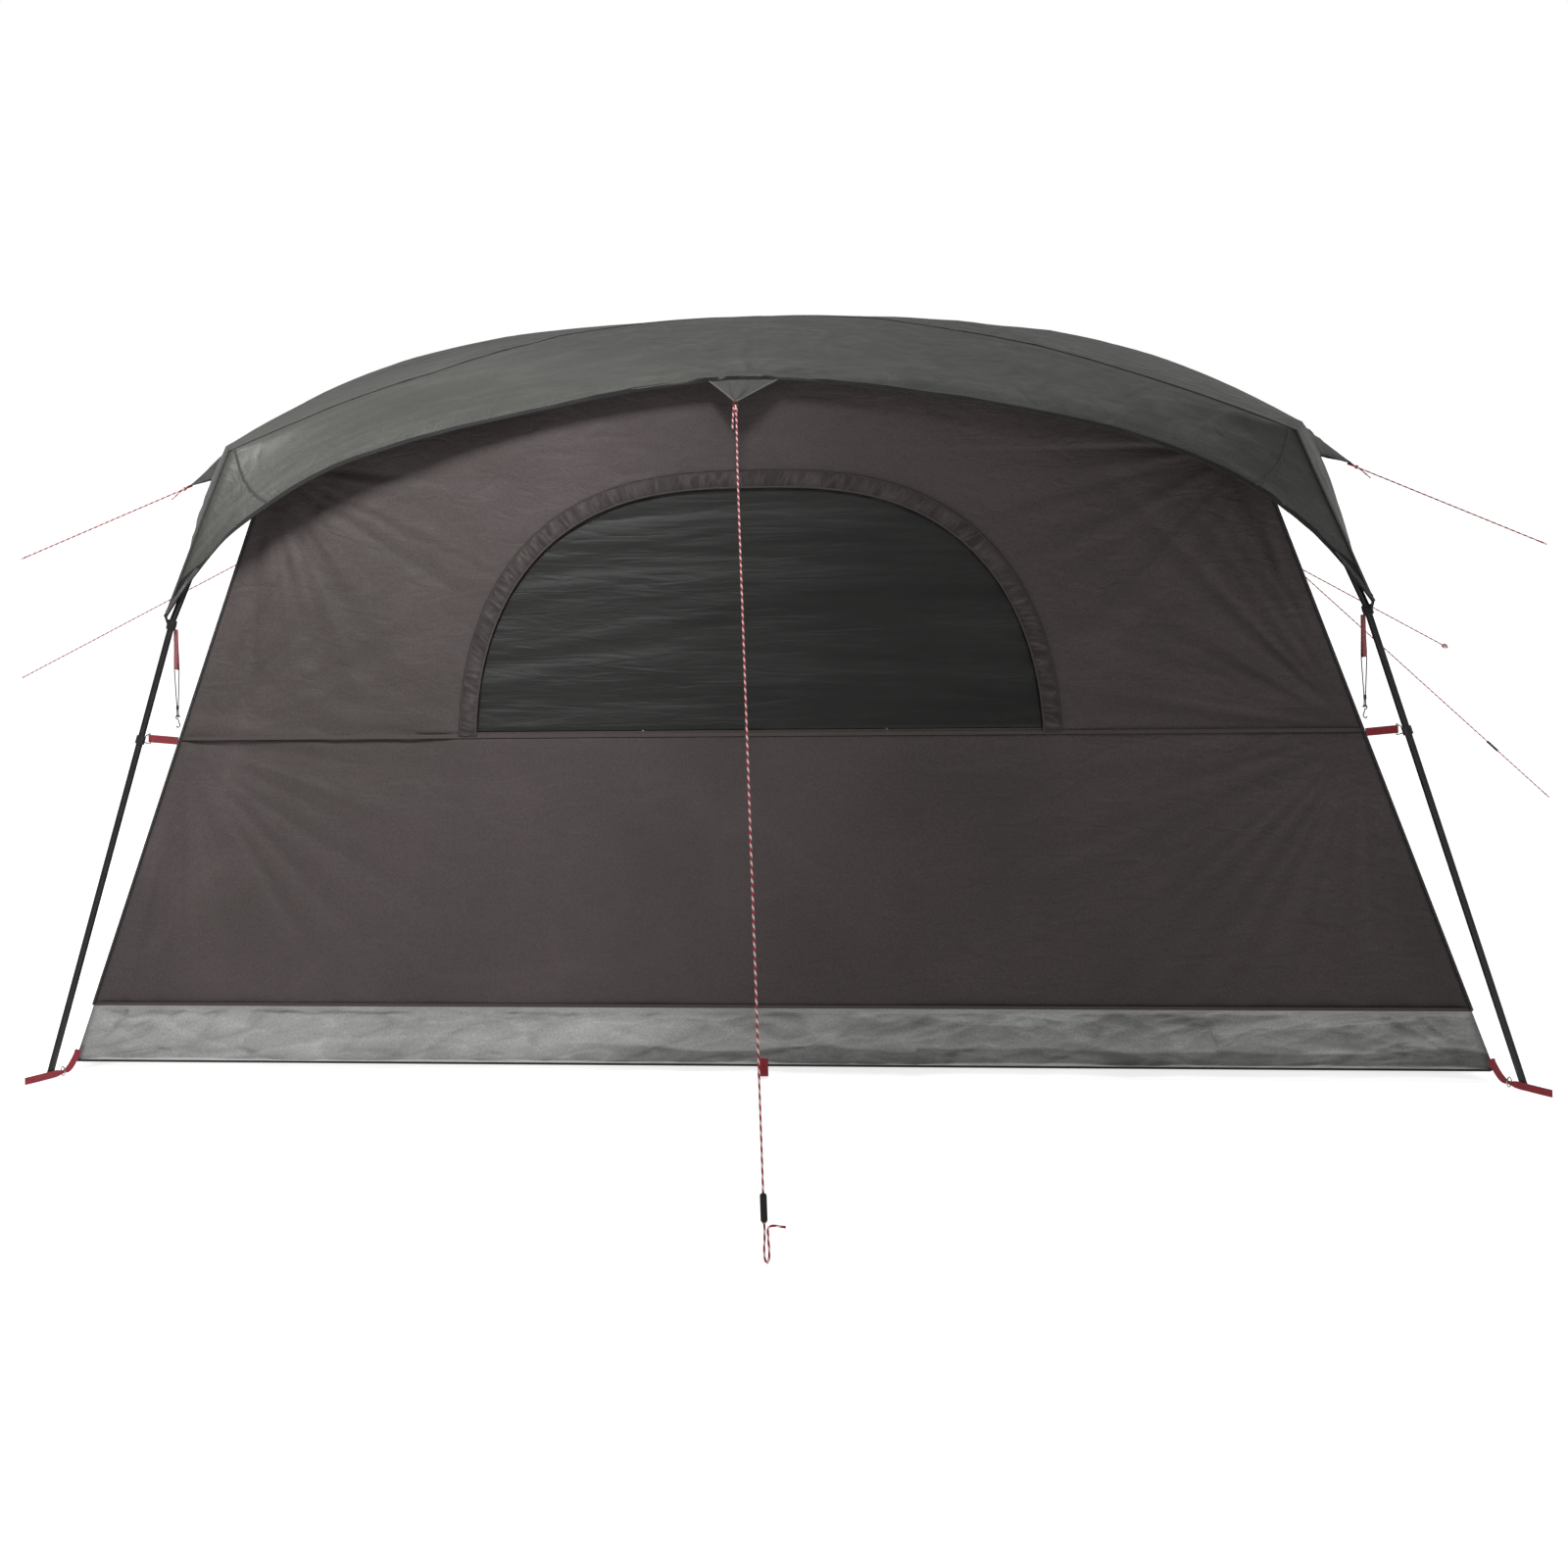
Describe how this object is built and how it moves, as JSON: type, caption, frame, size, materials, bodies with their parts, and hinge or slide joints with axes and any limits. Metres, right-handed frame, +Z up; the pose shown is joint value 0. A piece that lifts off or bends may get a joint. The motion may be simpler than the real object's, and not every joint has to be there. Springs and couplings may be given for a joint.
{
  "type": "tent on poles",
  "caption": "Square family tent: crossed black poles carry an inner tent with an arched rear window, a front door and a domed fly sheet on guy lines.",
  "frame": {"origin": "on the ground under the peak, in the middle of the floor", "axes": "+Z up, +X to the right and +Y away from the viewer who faces the rear wall with the window; the door is on the +Y side"},
  "size_m": [7.591, 5.6875, 2.364],
  "materials": {
    "base_strap_front_left": "dark red webbing",
    "base_strap_front_right": "dark red webbing",
    "base_strap_rear_left": "dark red webbing",
    "base_strap_rear_right": "dark red webbing",
    "brow_pole": "fibreglass rod",
    "ceiling": "dark mesh",
    "corner_ring_front_left": "nickel plated",
    "corner_ring_front_right": "nickel plated",
    "corner_ring_rear_left": "nickel plated",
    "corner_ring_rear_right": "nickel plated",
    "corner_webbing_front_left": "black webbing",
    "corner_webbing_front_right": "black webbing",
    "corner_webbing_rear_left": "black webbing",
    "corner_webbing_rear_right": "black webbing",
    "crown_tie": "black cord hook",
    "door_panel": "brown coated cloth",
    "elastic_loop_rear_left": "black elastic cord",
    "elastic_loop_rear_right": "black elastic cord",
    "floor_tray": "light grey woven sheet",
    "fly_sheet": "grey-green coated cloth",
    "front_wall": "brown coated cloth",
    "guy_line_front_left": "red and white braid",
    "guy_line_front_right": "red and white braid",
    "guy_line_front_right_steep": "red and white braid",
    "guy_line_left": "red and white braid",
    "guy_line_rear": "red and white braid",
    "guy_line_right": "red and white braid",
    "hanger_strap_rear_left": "dark red webbing",
    "hanger_strap_rear_right": "dark red webbing",
    "hook_rear_left": "moulded hook",
    "hook_rear_right": "moulded hook",
    "left_wall": "brown coated cloth",
    "leg_front_left": "black coated tube",
    "leg_front_right": "black coated tube",
    "leg_rear_left": "black coated tube",
    "leg_rear_right": "black coated tube",
    "mid_clip_front_left": "moulded clip",
    "mid_clip_front_right": "moulded clip",
    "mid_clip_rear_left": "moulded clip",
    "mid_clip_rear_right": "moulded clip",
    "mid_strap_front_left": "dark red webbing",
    "mid_strap_front_right": "dark red webbing",
    "mid_strap_rear_left": "dark red webbing",
    "mid_strap_rear_right": "dark red webbing",
    "peg_loop_rear": "dark red webbing",
    "rear_wall_lower": "brown coated cloth",
    "rear_wall_upper": "brown coated cloth",
    "right_wall": "brown coated cloth",
    "roof_pole_lower": "fibreglass rod",
    "roof_pole_upper": "fibreglass rod",
    "runner_front_right": "moulded tensioner",
    "runner_rear": "moulded tensioner",
    "shoulder_joint_front_left": "moulded elbow",
    "shoulder_joint_front_right": "moulded elbow",
    "shoulder_joint_rear_left": "moulded elbow",
    "shoulder_joint_rear_right": "moulded elbow",
    "window_flap": "brown coated cloth",
    "window_mesh": "dark mesh",
    "window_zip_cover": "brown coated cloth"
  },
  "bodies": {
    "tent": {"base_strap_front_left": "base_strap_front_left", "base_strap_front_right": "base_strap_front_right", "base_strap_rear_left": "base_strap_rear_left", "base_strap_rear_right": "base_strap_rear_right", "brow_pole": "brow_pole", "ceiling": "ceiling", "corner_ring_front_left": "corner_ring_front_left", "corner_ring_front_right": "corner_ring_front_right", "corner_ring_rear_left": "corner_ring_rear_left", "corner_ring_rear_right": "corner_ring_rear_right", "corner_webbing_front_left": "corner_webbing_front_left", "corner_webbing_front_right": "corner_webbing_front_right", "corner_webbing_rear_left": "corner_webbing_rear_left", "corner_webbing_rear_right": "corner_webbing_rear_right", "crown_tie": "crown_tie", "elastic_loop_rear_left": "elastic_loop_rear_left", "elastic_loop_rear_right": "elastic_loop_rear_right", "floor_tray": "floor_tray", "fly_sheet": "fly_sheet", "front_wall": "front_wall", "guy_line_front_left": "guy_line_front_left", "guy_line_front_right": "guy_line_front_right", "guy_line_front_right_steep": "guy_line_front_right_steep", "guy_line_left": "guy_line_left", "guy_line_rear": "guy_line_rear", "guy_line_right": "guy_line_right", "hanger_strap_rear_left": "hanger_strap_rear_left", "hanger_strap_rear_right": "hanger_strap_rear_right", "hook_rear_left": "hook_rear_left", "hook_rear_right": "hook_rear_right", "left_wall": "left_wall", "leg_front_left": "leg_front_left", "leg_front_right": "leg_front_right", "leg_rear_left": "leg_rear_left", "leg_rear_right": "leg_rear_right", "mid_clip_front_left": "mid_clip_front_left", "mid_clip_front_right": "mid_clip_front_right", "mid_clip_rear_left": "mid_clip_rear_left", "mid_clip_rear_right": "mid_clip_rear_right", "mid_strap_front_left": "mid_strap_front_left", "mid_strap_front_right": "mid_strap_front_right", "mid_strap_rear_left": "mid_strap_rear_left", "mid_strap_rear_right": "mid_strap_rear_right", "peg_loop_rear": "peg_loop_rear", "rear_wall_lower": "rear_wall_lower", "rear_wall_upper": "rear_wall_upper", "right_wall": "right_wall", "roof_pole_lower": "roof_pole_lower", "roof_pole_upper": "roof_pole_upper", "shoulder_joint_front_left": "shoulder_joint_front_left", "shoulder_joint_front_right": "shoulder_joint_front_right", "shoulder_joint_rear_left": "shoulder_joint_rear_left", "shoulder_joint_rear_right": "shoulder_joint_rear_right", "window_mesh": "window_mesh", "window_zip_cover": "window_zip_cover"},
    "door": {"door_panel": "door_panel"},
    "window_cover": {"window_flap": "window_flap"},
    "rear_runner": {"runner_rear": "runner_rear"},
    "front_runner": {"runner_front_right": "runner_front_right"}
  },
  "joints": [
    {"name": "door_hinge", "type": "hinge", "parent": "tent", "child": "door", "pos_m": [-0.62, 1.845, 1], "axis": [0, -0.2768, 0.9609], "range_deg": [0, 120]},
    {"name": "window_flap_hinge", "type": "hinge", "parent": "tent", "child": "window_cover", "pos_m": [0, -1.83693, 0.99551], "axis": [-1, 0, 0], "range_deg": [0, 150]},
    {"name": "rear_runner_slide", "type": "slide", "parent": "tent", "child": "rear_runner", "axis": [-0.0211, 0.6537, 0.7565], "range_m": [0, 0.4]},
    {"name": "front_runner_slide", "type": "slide", "parent": "tent", "child": "front_runner", "axis": [-0.724, -0.08, 0.6851], "range_m": [0, 0.6]}
  ]
}
